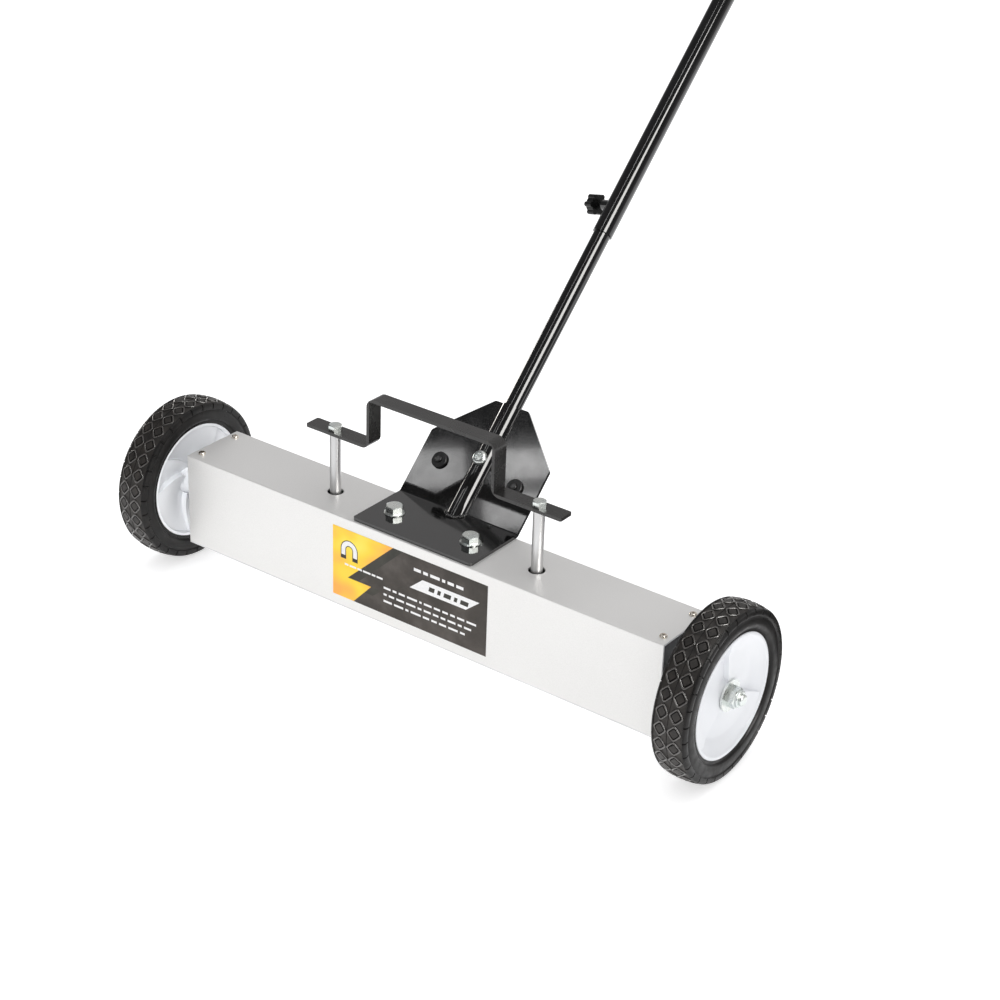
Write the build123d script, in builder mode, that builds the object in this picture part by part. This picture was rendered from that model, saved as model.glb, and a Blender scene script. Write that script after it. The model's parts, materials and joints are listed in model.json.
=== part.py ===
"""Walk-behind magnetic nail sweeper with a lifting magnet carriage and a telescopic handle.

The origin is the centre of the housing's underside. X runs along the sweeper from the left wheel to
the right wheel, Y runs backwards (the handle leans towards +Y) and Z is up. Lengths are millimetres.
"""
import os
from math import cos, radians, sin, sqrt, tan

from build123d import *

# Housing
housing_length = 610.0
housing_depth = 79.0
housing_height = 105.7
shell_wall = 2.0
cover_thickness = 2.0
lip_width = 8.0
end_plate_thickness = 3.0
end_plate_recess = 0.5
end_flange_length = 18.0
end_screw_inset_x = 9.0
end_screw_inset_y = 13.4
cover_screw_y = 33.5
housing_edge_radius = 1.2
screw_head_diameter = 8.0
screw_head_height = 2.4
cross_length = 3.6
cross_width = 0.9
cross_depth = 1.5
end_screw_length = 8.0
tapped_hole = 4.0
small_screw_hole = 4.4
small_screw_shank = 3.9
label_width = 200.0
label_height = 81.5
label_thickness = 0.25
label_corner = 1.5
end_plate_clearance = 0.4
screw_head_round = 1.6
countersink_radius = 3.9
countersunk_radius = 3.75
countersunk_height = 1.7
countersunk_taper = 44.0

# Lifting carriage, drawn raised
lift_travel = 55.0
channel_clearance = 0.6
post_spacing = 260.0
post_diameter = 12.0
post_hole_diameter = 17.5
strap_thickness = 3.5
strap_width = 19.0
strap_tab_top = 178.0
strap_top = 232.0
strap_half_length = 162.0
strap_riser_x = 81.0
strap_bend_radius = 6.5
strap_tab_corner = 2.0
lift_bolt_length = 22.0
post_bore_depth = 24.0
post_stud_length = 12.0
post_chamfer = 0.6
channel_length = 562.0
channel_width = 56.0
channel_height = 28.0
channel_wall = 2.5
magnet_length = 66.0
magnet_width = 44.0
magnet_height = 24.0
magnet_chamfer = 1.0
magnet_centres = (-245.0, -176.0, -76.0, 0.0, 76.0, 176.0, 245.0)

# Handle bracket
bracket_thickness = 3.5
bracket_width = 152.0
bracket_front_y = -37.0
bend_y = 40.2
bend_radius = 3.0
wing_side_length = 74.0
wing_length = 126.0
wing_top_width = 42.0
wing_trim_margin = 5.0
wing_corner_radius = 5.0
tube_slot_clearance = 0.2
bracket_corner_radius = 3.5
bracket_bolt_spacing = 98.0
bracket_bolt_y = -2.0
bumper_spacing = 97.0
bumper_height = 45.0
bumper_diameter = 18.0
bumper_round = 1.5
bumper_screw_length = 14.0
bumper_nut_height = 4.0

# Handle tubes, measured along the handle's axis from the top of the bracket's base
handle_lean = 45.6
tube_wall = 1.2
outer_tube_diameter = 22.2
inner_tube_diameter = 19.0
socket_length = 123.0
socket_trim = 30.0
socket_bolt_station = 58.0
socket_bolt_stub = 11.0
lower_tube_start = 20.0
lower_tube_end = 560.0
upper_tube_start = 335.0
tee_station = 950.0
clamp_station = 370.0
clamp_angle = 110.0
tee_width = 320.0
grip_length = 118.0
grip_diameter = 31.0
grip_cap = 3.0
grip_end_round = 5.0
grip_mouth_round = 2.5

# Clamp knob, measured out from the handle's axis
clamp_screw_diameter = 6.0
clamp_hole_diameter = 7.2
clamp_boss_diameter = 12.0
clamp_boss_reach = 20.0
clamp_screw_reach = 34.0
knob_neck_diameter = 11.0
knob_neck_start = 26.5
knob_head_start = 29.0
knob_head_height = 11.5
knob_core_diameter = 19.0
knob_lobe_count = 6
knob_lobe_ring = 9.2
knob_lobe_radius = 2.9
knob_edge_round = 1.8

# Wheels
axle_height = housing_height / 2
wheel_centre_x = 345.0
tyre_radius = 91.0
tyre_width = 38.0
rim_radius = 65.0
hub_inner_reach = 23.5
hub_outer_reach = 12.0
hub_boss_radius = 14.0
hub_boss_foot = 18.0
hub_boss_inner_radius = 15.0
hub_boss_inner_foot = 19.0
hub_web_outer = 9.0
hub_web_inner = 5.5
hub_web_radius = 46.0
hub_cone_outer = 15.5
hub_cone_inner = 3.0
rim_outer = 17.0
rim_inner = 16.0
rim_lip_depth = 3.5
rib_count = 6
rib_thickness = 2.5
rib_ring = 38.0
rib_depth = 18.0
shoulder_drop = 7.0
shoulder_width = 4.0
crown_drop = 1.6
axle_diameter = 12.0
axle_hole = 12.2
axle_spacer_diameter = 20.0
bush_diameter = 16.0
running_clearance = 0.08
body_gap = 0.3

# Bolts, nuts and washers
bracket_bolt_flats = 17.0
bracket_bolt_head = 8.8
bracket_bolt_flange = 22.0
bracket_bolt_shank = 10.0
bracket_bolt_hole = 10.6
bracket_bolt_length = 17.0
flange_thickness = 1.8
flange_edge_drop = 0.9
flange_edge_slope = 1.4
small_bolt_flats = 13.0
small_bolt_head = 5.5
small_bolt_shank = 8.0
small_bolt_hole = 8.4
small_nut_height = 6.5
small_nut_flange = 17.0
carriage_head_diameter = 16.0
carriage_head_height = 4.4
bumper_screw_shank = 5.0
bumper_hole = 5.4
bumper_thickness = 3.5
bumper_nut_flats = 8.0
axle_nut_flats = 19.0
axle_nut_height = 8.5
axle_collar_height = 11.5
axle_head_height = 7.5
axle_end_stub = 3.5
axle_end_round = 2.4
collar_round = 1.2
thread_gap = 0.05
washer_thickness = 2.0
washer_diameter = 33.0

# Heights and directions that follow from the sizes above
housing_top = housing_height
bracket_top = housing_top + bracket_thickness
channel_bottom = cover_thickness + channel_clearance + lift_travel
channel_top = channel_bottom + channel_height
strap_tab_bottom = strap_tab_top - strap_thickness
post_sites = [(sign * post_spacing / 2, 0) for sign in (-1, 1)]
end_screw_sites = [
    (side * (housing_length / 2 - end_screw_inset_x), end * (housing_depth / 2 - end_screw_inset_y))
    for side in (-1, 1)
    for end in (-1, 1)
]
cover_screw_sites = [(x, cover_screw_y if y > 0 else -cover_screw_y) for x, y in end_screw_sites]
bracket_bolt_sites = [(sign * bracket_bolt_spacing / 2, bracket_bolt_y) for sign in (-1, 1)]
bumper_sites = [(sign * bumper_spacing / 2, bumper_height) for sign in (-1, 1)]
up_handle = Vector(0, sin(radians(handle_lean)), cos(radians(handle_lean)))
off_handle = Vector(0, -cos(radians(handle_lean)), sin(radians(handle_lean)))
tube_base = Vector(0, bend_y + bracket_thickness / 2 / cos(radians(handle_lean)), bracket_top)
clamp_out = off_handle * cos(radians(clamp_angle)) - Vector(1, 0, 0) * sin(radians(clamp_angle))

os.makedirs("parts", exist_ok=True)


def save(builder, name):
    """Label a finished piece and write it as one STEP file."""
    builder.part.label = name
    export_step(builder.part, f"parts/{name}.step")


def across_handle(station):
    """Plane square to the handle, facing up it, at a distance along its axis."""
    return Plane(origin=tube_base + up_handle * station, x_dir=(1, 0, 0), z_dir=up_handle)


def off_front(station, distance):
    """Plane facing off the front of the handle at a station and a distance from its axis."""
    origin = tube_base + up_handle * station + off_handle * distance
    return Plane(origin=origin, x_dir=(1, 0, 0), z_dir=off_handle)


def off_clamp(distance):
    """Plane facing out along the clamp screw at a distance from the handle's axis."""
    origin = tube_base + up_handle * clamp_station + clamp_out * distance
    return Plane(origin=origin, x_dir=up_handle, z_dir=clamp_out)


def hex_head(base, across_flats, height, hole=0.0):
    """Bolt head or nut standing on a plane, its far corners turned down at 30 degrees."""
    corner_radius = across_flats / sqrt(3)
    face_radius = 0.47 * across_flats
    corner_drop = (corner_radius - face_radius) * tan(radians(30))
    side_view = Plane(origin=base.origin, x_dir=base.x_dir, z_dir=-base.y_dir)
    with BuildPart(mode=Mode.PRIVATE) as head:
        with BuildSketch(base):
            RegularPolygon(radius=across_flats / 2, side_count=6, major_radius=False)
            if hole:
                Circle(hole / 2, mode=Mode.SUBTRACT)
        extrude(amount=height)
        with BuildSketch(side_view):
            with BuildLine():
                Polyline(
                    (0, 0),
                    (corner_radius, 0),
                    (corner_radius, height - corner_drop),
                    (face_radius, height),
                    (0, height),
                    close=True,
                )
            make_face()
        revolve(axis=Axis(base.origin, base.z_dir), mode=Mode.INTERSECT)
    return head.part


def axle_plane(sign, x):
    """Plane facing outwards along one wheel's axle."""
    return Plane(origin=(sign * x, 0, axle_height), x_dir=(0, sign, 0), z_dir=(sign, 0, 0))


# ---------------------------------------------------------------- housing
with BuildPart() as housing_shell:
    with BuildSketch(Plane.YZ):
        with Locations((0, (housing_top + cover_thickness) / 2)):
            Rectangle(housing_depth, housing_top - cover_thickness)
            Rectangle(
                housing_depth - 2 * shell_wall,
                housing_top - 2 * shell_wall - cover_thickness,
                mode=Mode.SUBTRACT,
            )
        with Locations((0, cover_thickness + shell_wall / 2)):
            Rectangle(
                housing_depth - 2 * shell_wall - 2 * lip_width, shell_wall, mode=Mode.SUBTRACT
            )
    extrude(amount=housing_length / 2, both=True)
    with BuildSketch(Plane.XY.offset(housing_top)):
        with Locations(*post_sites):
            Circle(post_hole_diameter / 2)
        with Locations(*bracket_bolt_sites):
            Circle(bracket_bolt_hole / 2)
        with Locations(*end_screw_sites):
            Circle(small_screw_hole / 2)
    extrude(amount=-shell_wall, mode=Mode.SUBTRACT)
    with BuildSketch(Plane.XY.offset(cover_thickness)):
        with Locations(*cover_screw_sites):
            Circle(small_screw_hole / 2)
    extrude(amount=shell_wall, mode=Mode.SUBTRACT)
    top_edges = housing_shell.edges().filter_by(Axis.X).group_by(Axis.Z)[-1]
    fillet(top_edges, radius=housing_edge_radius)
save(housing_shell, "housing_shell")

with BuildPart() as bottom_cover:
    with BuildSketch(Plane.XY):
        Rectangle(housing_length, housing_depth)
    extrude(amount=cover_thickness)
    with Locations(bottom_cover.faces().sort_by(Axis.Z)[0]):
        with Locations(*cover_screw_sites):
            CounterSinkHole(small_screw_hole / 2, countersink_radius)
save(bottom_cover, "bottom_cover")

flange_bottom = cover_thickness + shell_wall
for side, sign in (("left", -1), ("right", 1)):
    outer_x = sign * (housing_length / 2 - end_plate_recess)
    inner_height = housing_top - shell_wall - flange_bottom
    with BuildPart() as end_plate:
        with BuildSketch(Plane.YZ.offset(outer_x)):
            with Locations((0, flange_bottom + inner_height / 2)):
                Rectangle(housing_depth - 2 * shell_wall - end_plate_clearance, inner_height)
        extrude(amount=-sign * end_flange_length)
        with BuildSketch(Plane.YZ.offset(outer_x - sign * end_plate_thickness)):
            with Locations((0, flange_bottom + inner_height / 2)):
                Rectangle(housing_depth, inner_height - 2 * end_plate_thickness)
        extrude(amount=-sign * end_flange_length, mode=Mode.SUBTRACT)
        with BuildSketch(axle_plane(sign, housing_length / 2)):
            Circle(axle_hole / 2)
        extrude(amount=-2 * end_plate_thickness, mode=Mode.SUBTRACT)
        with BuildSketch(Plane.XY.offset(housing_top - shell_wall)):
            with Locations(*end_screw_sites):
                Circle(tapped_hole / 2)
        extrude(amount=-end_plate_thickness, mode=Mode.SUBTRACT)
        with BuildSketch(Plane.XY.offset(flange_bottom)):
            with Locations(*cover_screw_sites):
                Circle(tapped_hole / 2)
        extrude(amount=end_plate_thickness, mode=Mode.SUBTRACT)
    save(end_plate, f"end_plate_{side}")

screw_head_top = housing_top + screw_head_height
with BuildPart() as end_screws:
    with BuildSketch(Plane.XY.offset(housing_top)):
        with Locations(*end_screw_sites):
            Circle(screw_head_diameter / 2)
    extrude(amount=screw_head_height)
    fillet(end_screws.edges().group_by(Axis.Z)[-1], radius=screw_head_round)
    with BuildSketch(Plane.XY.offset(screw_head_top)):
        with Locations(*end_screw_sites):
            Rectangle(cross_length, cross_width)
            Rectangle(cross_width, cross_length)
    extrude(amount=-cross_depth, mode=Mode.SUBTRACT)
    with BuildSketch(Plane.XY.offset(housing_top)):
        with Locations(*end_screw_sites):
            Circle(small_screw_shank / 2)
    extrude(amount=-end_screw_length)
save(end_screws, "end_screws")

with BuildPart() as cover_screws:
    with BuildSketch(Plane.XY):
        with Locations(*cover_screw_sites):
            Circle(countersunk_radius)
    extrude(amount=countersunk_height, taper=countersunk_taper)
    with BuildSketch(Plane.XY.offset(countersunk_height - 0.1)):
        with Locations(*cover_screw_sites):
            Circle(small_screw_shank / 2)
    extrude(amount=end_screw_length)
    with BuildSketch(Plane.XY):
        with Locations(*cover_screw_sites):
            Rectangle(cross_length, cross_width)
            Rectangle(cross_width, cross_length)
    extrude(amount=cross_depth / 1.5, mode=Mode.SUBTRACT)
save(cover_screws, "cover_screws")

with BuildPart() as front_label:
    with BuildSketch(Plane.XZ.offset(housing_depth / 2)):
        with Locations((0, housing_height / 2)):
            RectangleRounded(label_width, label_height, label_corner)
    extrude(amount=label_thickness)
save(front_label, "front_label")

# ---------------------------------------------------------------- handle bracket
wing_plane = Plane(origin=(0, bend_y, bracket_top), x_dir=(1, 0, 0), z_dir=off_handle)
wing_tip = wing_plane.from_local_coords((0, wing_length, 0))
wing_tip_back = wing_plane.from_local_coords((0, wing_length, -bracket_thickness))
outer_bend_y = bend_y + bracket_thickness * (1 - sin(radians(handle_lean))) / cos(radians(handle_lean))

with BuildPart() as handle_bracket:
    with BuildSketch(Plane.YZ) as bent_sheet:
        with BuildLine():
            Polyline(
                (bracket_front_y, housing_top),
                (outer_bend_y, housing_top),
                (wing_tip_back.Y, wing_tip_back.Z),
                (wing_tip.Y, wing_tip.Z),
                (bend_y, bracket_top),
                (bracket_front_y, bracket_top),
                close=True,
            )
        make_face()
        bend = bent_sheet.vertices().sort_by_distance((bend_y, bracket_top))
        fillet(bend[0], radius=bend_radius)
        outer = bent_sheet.vertices().sort_by_distance((outer_bend_y, housing_top))
        fillet(outer[0], radius=bend_radius + bracket_thickness)
    extrude(amount=bracket_width / 2, both=True)
    with BuildSketch(wing_plane):
        with BuildLine():
            Polyline(
                (bracket_width / 2 + wing_trim_margin, wing_side_length - wing_trim_margin),
                (wing_top_width / 2 - wing_trim_margin, wing_length + wing_trim_margin),
                (bracket_width / 2 + wing_trim_margin, wing_length + wing_trim_margin),
                close=True,
            )
        make_face()
        mirror(about=Plane.YZ)
        with Locations((0, wing_length / 2)):
            Rectangle(outer_tube_diameter + tube_slot_clearance, 1.02 * wing_length)
        with Locations(*bumper_sites):
            Circle(bumper_hole / 2)
    extrude(amount=2 * bracket_thickness, both=True, mode=Mode.SUBTRACT)
    with BuildSketch(Plane.XY.offset(bracket_top)):
        with Locations(*bracket_bolt_sites):
            Circle(bracket_bolt_hole / 2)
    extrude(amount=-bracket_thickness, mode=Mode.SUBTRACT)
    front_corners = handle_bracket.edges().filter_by(Axis.Z).group_by(Axis.Y)[0]
    fillet(front_corners, radius=bracket_corner_radius)
    wing_corners = handle_bracket.edges().filter_by(
        lambda e: abs(abs(e.tangent_at(0.5).dot(off_handle)) - 1) < 1e-4
        and e.geom_type == GeomType.LINE
        and abs(e.center().X) > 0.75 * outer_tube_diameter
    )
    fillet(wing_corners, radius=wing_corner_radius)
save(handle_bracket, "handle_bracket")

bolt_heads = [
    hex_head(Plane((x, y, bracket_top)), bracket_bolt_flats, bracket_bolt_head)
    for x, y in bracket_bolt_sites
]
with BuildPart() as bracket_bolts:
    with BuildSketch(Plane.XY.offset(bracket_top)):
        with Locations(*bracket_bolt_sites):
            Circle(bracket_bolt_flange / 2)
    extrude(amount=flange_thickness)
    chamfer(
        bracket_bolts.edges().group_by(Axis.Z)[-1],
        length=flange_edge_drop,
        length2=flange_edge_slope,
    )
    add(bolt_heads)
    with BuildSketch(Plane.XY.offset(bracket_top)):
        with Locations(*bracket_bolt_sites):
            Circle(bracket_bolt_shank / 2)
    extrude(amount=-bracket_bolt_length)
save(bracket_bolts, "bracket_bolts")

nut_top = housing_top - shell_wall - flange_thickness
nut_bodies = [
    hex_head(
        Plane(origin=(x, y, nut_top), z_dir=(0, 0, -1)),
        bracket_bolt_flats,
        bracket_bolt_head,
        hole=bracket_bolt_shank + 2 * thread_gap,
    )
    for x, y in bracket_bolt_sites
]
with BuildPart() as bracket_nuts:
    with BuildSketch(Plane.XY.offset(nut_top)):
        with Locations(*bracket_bolt_sites):
            Circle(bracket_bolt_flange / 2)
            Circle(bracket_bolt_shank / 2 + thread_gap, mode=Mode.SUBTRACT)
    extrude(amount=flange_thickness)
    add(nut_bodies)
save(bracket_nuts, "bracket_nuts")

with BuildPart() as bumper_discs:
    with BuildSketch(wing_plane):
        with Locations(*bumper_sites):
            Circle(bumper_diameter / 2)
            Circle(bumper_hole / 2, mode=Mode.SUBTRACT)
    extrude(amount=bumper_thickness)
    outer_rims = bumper_discs.edges().filter_by(
        lambda e: e.geom_type == GeomType.CIRCLE
        and e.radius > bumper_hole
        and wing_plane.to_local_coords(e.center()).Z > bumper_thickness / 2
    )
    fillet(outer_rims, radius=bumper_round)
save(bumper_discs, "bumper_discs")

with BuildPart() as bumper_screws:
    with BuildSketch(wing_plane.offset(bumper_thickness)):
        with Locations(*bumper_sites):
            Circle(screw_head_diameter / 2)
    extrude(amount=screw_head_height)
    domes = bumper_screws.edges().filter_by(
        lambda e: wing_plane.to_local_coords(e.center()).Z > bumper_thickness + screw_head_height / 2
        and e.geom_type == GeomType.CIRCLE
    )
    fillet(domes, radius=screw_head_round)
    with BuildSketch(wing_plane.offset(bumper_thickness)):
        with Locations(*bumper_sites):
            Circle(bumper_screw_shank / 2)
    extrude(amount=-bumper_screw_length)
save(bumper_screws, "bumper_screws")

wing_back = wing_plane.offset(-bracket_thickness)
nut_bodies = [
    hex_head(
        Plane(origin=wing_back.from_local_coords((x, y, 0)), x_dir=(1, 0, 0), z_dir=-off_handle),
        bumper_nut_flats,
        bumper_nut_height,
        hole=bumper_screw_shank + 2 * thread_gap,
    )
    for x, y in bumper_sites
]
with BuildPart() as bumper_nuts:
    add(nut_bodies)
save(bumper_nuts, "bumper_nuts")

# ---------------------------------------------------------------- fixed part of the handle
outer_radius = outer_tube_diameter / 2
inner_radius = inner_tube_diameter / 2

with BuildPart() as handle_socket:
    with BuildSketch(across_handle(-socket_trim)):
        Circle(outer_radius)
        Circle(outer_radius - tube_wall, mode=Mode.SUBTRACT)
    extrude(amount=socket_trim + socket_length)
    split(bisect_by=Plane.XY.offset(bracket_top), keep=Keep.TOP)
    with BuildSketch(off_front(socket_bolt_station, 0)):
        Circle(small_bolt_hole / 2)
    extrude(amount=outer_tube_diameter, both=True, mode=Mode.SUBTRACT)
save(handle_socket, "handle_socket")

with BuildPart() as lower_tube:
    with BuildSketch(across_handle(lower_tube_start)):
        Circle(inner_radius)
        Circle(inner_radius - tube_wall, mode=Mode.SUBTRACT)
    extrude(amount=lower_tube_end - lower_tube_start)
    with BuildSketch(off_front(socket_bolt_station, 0)):
        Circle(small_bolt_hole / 2)
    extrude(amount=outer_radius, both=True, mode=Mode.SUBTRACT)
save(lower_tube, "lower_tube")

with BuildPart() as socket_bolt:
    with BuildSketch(off_front(socket_bolt_station, outer_radius)):
        Circle(carriage_head_diameter / 2)
    extrude(amount=carriage_head_height)
    crown = socket_bolt.edges().filter_by(GeomType.CIRCLE).sort_by_distance(
        off_front(socket_bolt_station, outer_radius + carriage_head_height).origin
    )
    fillet(crown[0], radius=0.9 * carriage_head_height)
    with BuildSketch(off_front(socket_bolt_station, outer_radius)):
        Circle(small_bolt_shank / 2)
    extrude(amount=-outer_tube_diameter - socket_bolt_stub)
save(socket_bolt, "socket_bolt")

socket_nut_face = off_front(socket_bolt_station, -outer_radius - flange_thickness)
nut_body = hex_head(
    Plane(origin=socket_nut_face.origin, x_dir=(1, 0, 0), z_dir=-off_handle),
    small_bolt_flats,
    small_nut_height,
    hole=small_bolt_shank + 2 * thread_gap,
)
with BuildPart() as socket_nut:
    with BuildSketch(socket_nut_face):
        Circle(small_nut_flange / 2)
        Circle(small_bolt_shank / 2 + thread_gap, mode=Mode.SUBTRACT)
    extrude(amount=flange_thickness)
    add(nut_body)
save(socket_nut, "socket_nut")

# ---------------------------------------------------------------- telescopic part of the handle
tee_axis_point = tube_base + up_handle * tee_station
tee_plane = Plane(origin=tee_axis_point, x_dir=(0, 1, 0), z_dir=(1, 0, 0))

with BuildPart() as upper_tube:
    with BuildSketch(across_handle(upper_tube_start)):
        Circle(outer_radius)
        Circle(outer_radius - tube_wall, mode=Mode.SUBTRACT)
    extrude(amount=tee_station - upper_tube_start)
    with BuildSketch(tee_plane):
        Circle(outer_radius)
    extrude(amount=2 * outer_radius, both=True, mode=Mode.SUBTRACT)
    with BuildSketch(off_clamp(0)):
        Circle(clamp_hole_diameter / 2)
    extrude(amount=2 * outer_radius, mode=Mode.SUBTRACT)
save(upper_tube, "upper_tube")

with BuildPart() as tee_bar:
    with BuildSketch(tee_plane):
        Circle(outer_radius)
        Circle(outer_radius - tube_wall, mode=Mode.SUBTRACT)
    extrude(amount=tee_width / 2, both=True)
save(tee_bar, "tee_bar")

for side, sign in (("left", -1), ("right", 1)):
    grip_plane = Plane(
        origin=tee_axis_point + Vector(sign * (tee_width / 2 + grip_cap - grip_length), 0, 0),
        x_dir=(0, 1, 0),
        z_dir=(sign, 0, 0),
    )
    with BuildPart() as grip:
        with BuildSketch(grip_plane):
            Circle(grip_diameter / 2)
        extrude(amount=grip_length)
        grip_ends = grip.edges().filter_by(GeomType.CIRCLE).sort_by(Axis.X, reverse=sign < 0)
        fillet(grip_ends[-1], radius=grip_end_round)
        grip_ends = grip.edges().filter_by(GeomType.CIRCLE).sort_by(Axis.X, reverse=sign < 0)
        fillet(grip_ends[0], radius=grip_mouth_round)
        with BuildSketch(grip_plane):
            Circle(outer_radius)
        extrude(amount=grip_length - grip_cap, mode=Mode.SUBTRACT)
    save(grip, f"grip_{side}")

with BuildPart() as clamp_boss:
    with BuildSketch(off_clamp(0)):
        Circle(clamp_boss_diameter / 2)
    extrude(amount=clamp_boss_reach)
    with BuildSketch(across_handle(clamp_station)):
        Circle(outer_radius)
    extrude(amount=clamp_boss_diameter, both=True, mode=Mode.SUBTRACT)
    with BuildSketch(off_clamp(0)):
        Circle(clamp_screw_diameter / 2 + running_clearance)
    extrude(amount=clamp_boss_reach, mode=Mode.SUBTRACT)
save(clamp_boss, "clamp_boss")

screw_tip = inner_radius + body_gap
with BuildPart() as knob_screw:
    with BuildSketch(off_clamp(screw_tip)):
        Circle(clamp_screw_diameter / 2)
    extrude(amount=clamp_screw_reach - screw_tip)
save(knob_screw, "knob_screw")

knob_top = knob_head_start + knob_head_height
with BuildPart() as knob_head:
    with BuildSketch(off_clamp(knob_neck_start)):
        Circle(knob_neck_diameter / 2)
    extrude(amount=knob_head_start - knob_neck_start + 1)
    with BuildSketch(off_clamp(knob_head_start)):
        Circle(knob_core_diameter / 2)
        with PolarLocations(knob_lobe_ring, knob_lobe_count):
            Circle(knob_lobe_radius)
    extrude(amount=knob_head_height)
    rim = knob_head.edges().filter_by(
        lambda e: (e.center() - off_clamp(knob_top).origin).dot(clamp_out) > -0.01
    )
    fillet(rim, radius=knob_edge_round)
    with BuildSketch(off_clamp(0)):
        Circle(clamp_screw_diameter / 2)
    extrude(amount=clamp_screw_reach, mode=Mode.SUBTRACT)
save(knob_head, "knob_head")

# ---------------------------------------------------------------- lifting carriage
riser_inner_x = strap_riser_x - strap_thickness
strap_outer_radius = strap_bend_radius + strap_thickness
with BuildPart() as lift_strap:
    with BuildSketch(Plane.XZ) as strap_side:
        with BuildLine():
            Polyline(
                (0, strap_top),
                (strap_riser_x, strap_top),
                (strap_riser_x, strap_tab_top),
                (strap_half_length, strap_tab_top),
                (strap_half_length, strap_tab_bottom),
                (riser_inner_x, strap_tab_bottom),
                (riser_inner_x, strap_top - strap_thickness),
                (0, strap_top - strap_thickness),
                close=True,
            )
        make_face()
        corners = strap_side.vertices()
        outside = (
            corners.sort_by_distance((strap_riser_x, strap_top, 0))[0],
            corners.sort_by_distance((riser_inner_x, strap_tab_bottom, 0))[0],
        )
        inside = (
            corners.sort_by_distance((strap_riser_x, strap_tab_top, 0))[0],
            corners.sort_by_distance((riser_inner_x, strap_top - strap_thickness, 0))[0],
        )
        fillet(outside, radius=strap_outer_radius)
        fillet(inside, radius=strap_bend_radius)
        mirror(about=Plane.YZ)
    extrude(amount=strap_width / 2, both=True)
    tab_corners = lift_strap.edges().filter_by(Axis.Z).filter_by_position(
        Axis.Z, strap_tab_bottom, strap_tab_top
    )
    fillet(tab_corners, radius=strap_tab_corner)
    with BuildSketch(Plane.XY.offset(strap_tab_top)):
        with Locations(*post_sites):
            Circle(small_bolt_hole / 2)
    extrude(amount=-strap_thickness, mode=Mode.SUBTRACT)
save(lift_strap, "lift_strap")

bolt_heads = [
    hex_head(Plane((x, y, strap_tab_top)), small_bolt_flats, small_bolt_head) for x, y in post_sites
]
with BuildPart() as lift_bolts:
    with BuildSketch(Plane.XY.offset(strap_tab_top)):
        with Locations(*post_sites):
            Circle(small_bolt_shank / 2 - thread_gap)
    extrude(amount=-lift_bolt_length)
    add(bolt_heads)
save(lift_bolts, "lift_bolts")

for side, sign in (("left", -1), ("right", 1)):
    with BuildPart() as post:
        with BuildSketch(Plane.XY.offset(channel_top)):
            with Locations((sign * post_spacing / 2, 0)):
                Circle(post_diameter / 2)
        extrude(amount=strap_tab_bottom - channel_top)
        chamfer(post.edges().filter_by(GeomType.CIRCLE).sort_by(Axis.Z)[-1], length=post_chamfer)
        with BuildSketch(Plane.XY.offset(strap_tab_bottom)):
            with Locations((sign * post_spacing / 2, 0)):
                Circle(small_bolt_shank / 2)
        extrude(amount=-post_bore_depth, mode=Mode.SUBTRACT)
        with BuildSketch(Plane.XY.offset(channel_top)):
            with Locations((sign * post_spacing / 2, 0)):
                Circle(small_bolt_shank / 2)
        extrude(amount=-post_stud_length)
    save(post, f"lift_post_{side}")

with BuildPart() as magnet_channel:
    with BuildSketch(Plane.YZ):
        with Locations((0, channel_bottom + channel_height / 2)):
            Rectangle(channel_width, channel_height)
        with Locations((0, channel_bottom + (channel_height - channel_wall) / 2)):
            Rectangle(
                channel_width - 2 * channel_wall, channel_height - channel_wall, mode=Mode.SUBTRACT
            )
    extrude(amount=channel_length / 2, both=True)
    with BuildSketch(Plane.XY.offset(channel_top)):
        with Locations(*post_sites):
            Circle(small_bolt_hole / 2)
    extrude(amount=-channel_wall, mode=Mode.SUBTRACT)
save(magnet_channel, "magnet_channel")

with BuildPart() as magnets:
    with BuildSketch(Plane.XY.offset(channel_top - channel_wall)):
        with Locations(*[(x, 0) for x in magnet_centres]):
            Rectangle(magnet_length, magnet_width)
    extrude(amount=-magnet_height)
    chamfer(magnets.edges().group_by(Axis.Z)[0], length=magnet_chamfer)
save(magnets, "magnets")

nut_bodies = [
    hex_head(
        Plane(origin=(x, y, channel_top - channel_wall), z_dir=(0, 0, -1)),
        small_bolt_flats,
        small_nut_height,
        hole=small_bolt_shank + 2 * thread_gap,
    )
    for x, y in post_sites
]
with BuildPart() as post_nuts:
    add(nut_bodies)
save(post_nuts, "post_nuts")

# ---------------------------------------------------------------- wheels and axles
plate_inner_x = housing_length / 2 - end_plate_recess - end_plate_thickness
plate_outer_x = housing_length / 2 - end_plate_recess
hub_inner_x = wheel_centre_x - hub_inner_reach
hub_outer_x = wheel_centre_x + hub_outer_reach
washer_x = hub_outer_x + body_gap
nut_x = washer_x + washer_thickness
axle_end_x = nut_x + axle_collar_height + axle_end_stub
lip = rim_radius - rim_lip_depth
half_width = tyre_width / 2
tread_half = half_width - shoulder_width
tread_edge = tyre_radius - crown_drop
shoulder_radius = tyre_radius - shoulder_drop

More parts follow.
